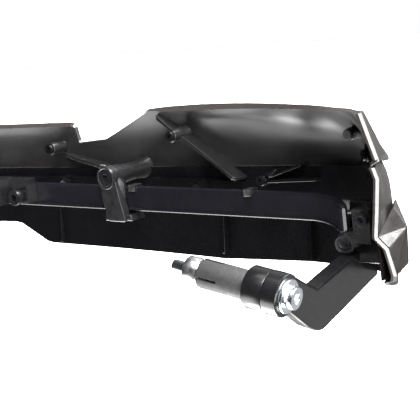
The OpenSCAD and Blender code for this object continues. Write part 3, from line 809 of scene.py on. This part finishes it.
# ---------------------------------------------------------------- end arm
dr, sw = math.radians(10.49), math.radians(4.876)
U = np.array([math.cos(dr) * math.cos(sw), math.sin(sw), -math.sin(dr) * math.cos(sw)])
V = np.array([-math.cos(dr) * math.sin(sw), math.cos(sw), math.sin(dr) * math.sin(sw)])
W = np.array([math.sin(dr), 0.0, math.cos(dr)])


def bar(u, v, w):
    return tuple(U * u + V * v + W * w)


arm = Part()
outline = [(3.5, 9.35), (14, 2.9), (27.3, -5.1), (29.7, -5.1), (50, -1.8), (80, 2.8), (85.5, 0.2), (89, -9.0), (92.5, -17.4), (88.5, -18.2),
           (62, -23.8), (41, -28.2), (37.2, -28.9), (33.5, -28.4), (30, -27), (22.9, -23.3), (14, -16.6), (5.4, -10.2), (1.5, -8.5), (0.5, 8.6)]
arm.add_bm(loft([bar(-9.6, v, w) for v, w in outline], U * 8.0, 1.5, 4), 0)
lathe(arm, bar(-9.6, 0, 0), U, round_prof([(0, 0), (10, 0), (10, 8), (0, 8)], 0.8), 64, 0)
arm.add_bm(box8([(-14, 68.5, -3), (3.5, 68.5, -3), (3.5, 76.5, -3), (-14, 76.5, -3),
                 (-13, 71.5, 27), (3.5, 68.5, 27), (3.5, 76.5, 27), (-13, 76.5, 27)], 0.8), 0)
lathe(arm, (-10 + 7.02 * 0.0, 60, 8), (0, 1, 0), round_prof([(0, 8.6), (5.2, 8.6), (5.4, 12), (0, 13)], 0.4), 32, 0)
end_arm = arm.build("end_arm_form", [M["arm"]], "arm_black", ["end_arm"], sharp=30)


# ---------------------------------------------------------------- floor, light, camera
def world():
    w = bpy.data.worlds.new("studio")
    SC.world = w
    w.use_nodes = True
    nt = w.node_tree
    L = nt.links.new
    bg = nt.nodes["Background"]
    out = nt.nodes["World Output"]
    tc = nt.nodes.new("ShaderNodeTexCoord")
    sep = nt.nodes.new("ShaderNodeSeparateXYZ")
    L(tc.outputs["Generated"], sep.inputs["Vector"])

    def rng(src, a, b, lo, hi):
        m = nt.nodes.new("ShaderNodeMapRange")
        m.interpolation_type = "SMOOTHSTEP"
        m.inputs["From Min"].default_value = a
        m.inputs["From Max"].default_value = b
        m.inputs["To Min"].default_value = lo
        m.inputs["To Max"].default_value = hi
        L(src, m.inputs["Value"])
        return m.outputs["Result"]

    def mth(op, a, b):
        m = nt.nodes.new("ShaderNodeMath")
        m.operation = op
        for i, v in enumerate((a, b)):
            if isinstance(v, (int, float)):
                m.inputs[i].default_value = v
            else:
                L(v, m.inputs[i])
        return m.outputs[0]

    X, Y, Z = sep.outputs["X"], sep.outputs["Y"], sep.outputs["Z"]
    front = mth("MULTIPLY", rng(Y, 0.15, 0.7, 0.0, 0.70), rng(Z, -0.2, 0.08, 0.8, 1.0))     # white wall ahead
    front = mth("MULTIPLY", front, rng(X, -0.8, -0.5, 0.1, 1.0))
    low = mth("SUBTRACT", mth("SUBTRACT", mth("MULTIPLY", Y, -0.04), mth("MULTIPLY", X, 0.25)), mth("MULTIPLY", Z, 0.967))
    below = rng(low, 0.83, 0.94, 0.0, 17.0)
    sill = mth("MULTIPLY", rng(Z, -0.31, -0.54, 0.0, 7.2), mth("MULTIPLY", rng(X, -0.2, -0.5, 0.0, 1.0), rng(Y, 0.45, 0.2, 0.0, 1.0)))
    sill = mth("MULTIPLY", sill, rng(X, -0.88, -0.7, 0.4, 1.0))
    below = mth("ADD", below, sill)
    above = mth("MULTIPLY", rng(Z, 0.7, 0.8, 0.0, 46.0), mth("MULTIPLY", rng(Z, 0.95, 0.87, 0.03, 1.0), rng(X, 0.1, 0.3, 0.0, 1.0)))
    # tall strip to the right, behind the viewer
    flat = mth("SQRT", mth("MAXIMUM", mth("SUBTRACT", 1.0, mth("MULTIPLY", Z, Z)), 0.01), 0.0)
    az = mth("DIVIDE", mth("SUBTRACT", mth("MULTIPLY", X, 0.815), mth("MULTIPLY", Y, 0.579)), flat)
    strip = mth("MULTIPLY", rng(az, 0.975, 0.992, 0.0, 15.0), mth("MULTIPLY", rng(Z, -0.62, -0.45, 0.0, 1.0), rng(Z, 0.55, 0.4, 0.0, 1.0)))
    # soft light high in front, to the right
    dot = mth("ADD", mth("ADD", mth("MULTIPLY", X, 0.50), mth("MULTIPLY", Y, 0.73)), mth("MULTIPLY", Z, 0.46))
    high = rng(dot, 0.955, 0.985, 0.0, 9.0)
    s = mth("ADD", mth("ADD", mth("ADD", front, high), below), mth("ADD", above, strip))
    s = mth("ADD", s, 0.03)
    bg.inputs["Color"].default_value = (1, 1, 1, 1)
    L(s, bg.inputs["Strength"])
    white = nt.nodes.new("ShaderNodeBackground")
    white.inputs["Color"].default_value = (1, 1, 1, 1)
    white.inputs["Strength"].default_value = 1.0
    lp = nt.nodes.new("ShaderNodeLightPath")
    mix = nt.nodes.new("ShaderNodeMixShader")
    L(lp.outputs["Is Camera Ray"], mix.inputs["Fac"])
    L(bg.outputs["Background"], mix.inputs[1])
    L(white.outputs["Background"], mix.inputs[2])
    L(mix.outputs["Shader"], out.inputs["Surface"])


world()


def area(name, loc, target, size, power, size_y=None):
    d = bpy.data.lights.new(name, "AREA")
    d.energy = power
    d.size = size
    if size_y:
        d.shape = "RECTANGLE"
        d.size_y = size_y
    o = bpy.data.objects.new(name, d)
    SC.collection.objects.link(o)
    o.location = loc
    o.rotation_euler = (Vector(target) - Vector(loc)).to_track_quat("-Z", "Y").to_euler()
    return o


area("softbox_right", (1.1, -0.35, 0.65), (0, 0.05, 0.02), 0.4, 2.2, 0.4)
area("softbox_top", (-0.1, -0.1, 1.1), (-0.1, 0.05, 0.0), 0.35, 1.5)

floor_mesh = bpy.data.meshes.new("floor")
s = 4.0
floor_mesh.from_pydata([(-s, -s, 0), (s, -s, 0), (s, s, 0), (-s, s, 0)], [], [(0, 1, 2, 3)])
floor = bpy.data.objects.new("floor", floor_mesh)
SC.collection.objects.link(floor)
floor.location = (0, 0, -0.19)
fm = bpy.data.materials.new("pale_floor")
fm.use_nodes = True
fb = fm.node_tree.nodes["Principled BSDF"]
fb.inputs["Base Color"].default_value = (0.93, 0.93, 0.93, 1)
fb.inputs["Roughness"].default_value = 0.9
fb.inputs["Specular IOR Level"].default_value = 0.1
fb.inputs["Emission Color"].default_value = (1, 1, 1, 1)
fb.inputs["Emission Strength"].default_value = 0.35
floor_mesh.materials.append(fm)
floor.visible_glossy = False
floor.visible_diffuse = False
floor.visible_shadow = False
floor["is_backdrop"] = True

cam_data = bpy.data.cameras.new("camera")
cam = bpy.data.objects.new("camera", cam_data)
SC.collection.objects.link(cam)
cam_data.lens = 100
cam_data.sensor_width = 36
right = Vector((0.7666, 0.6327, -0.1098))
up = Vector((-0.0402, 0.2178, 0.9752))
back = Vector((0.6409, -0.7431, 0.1924))
rot = Matrix((right, up, back)).transposed()
cam.rotation_euler = rot.to_euler()
cam.location = (0.3161, -0.3890, 0.1347)
cam_data.clip_start = 0.01
cam_data.clip_end = 20
SC.camera = cam
SC.view_settings.view_transform = "Standard"

lo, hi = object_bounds()
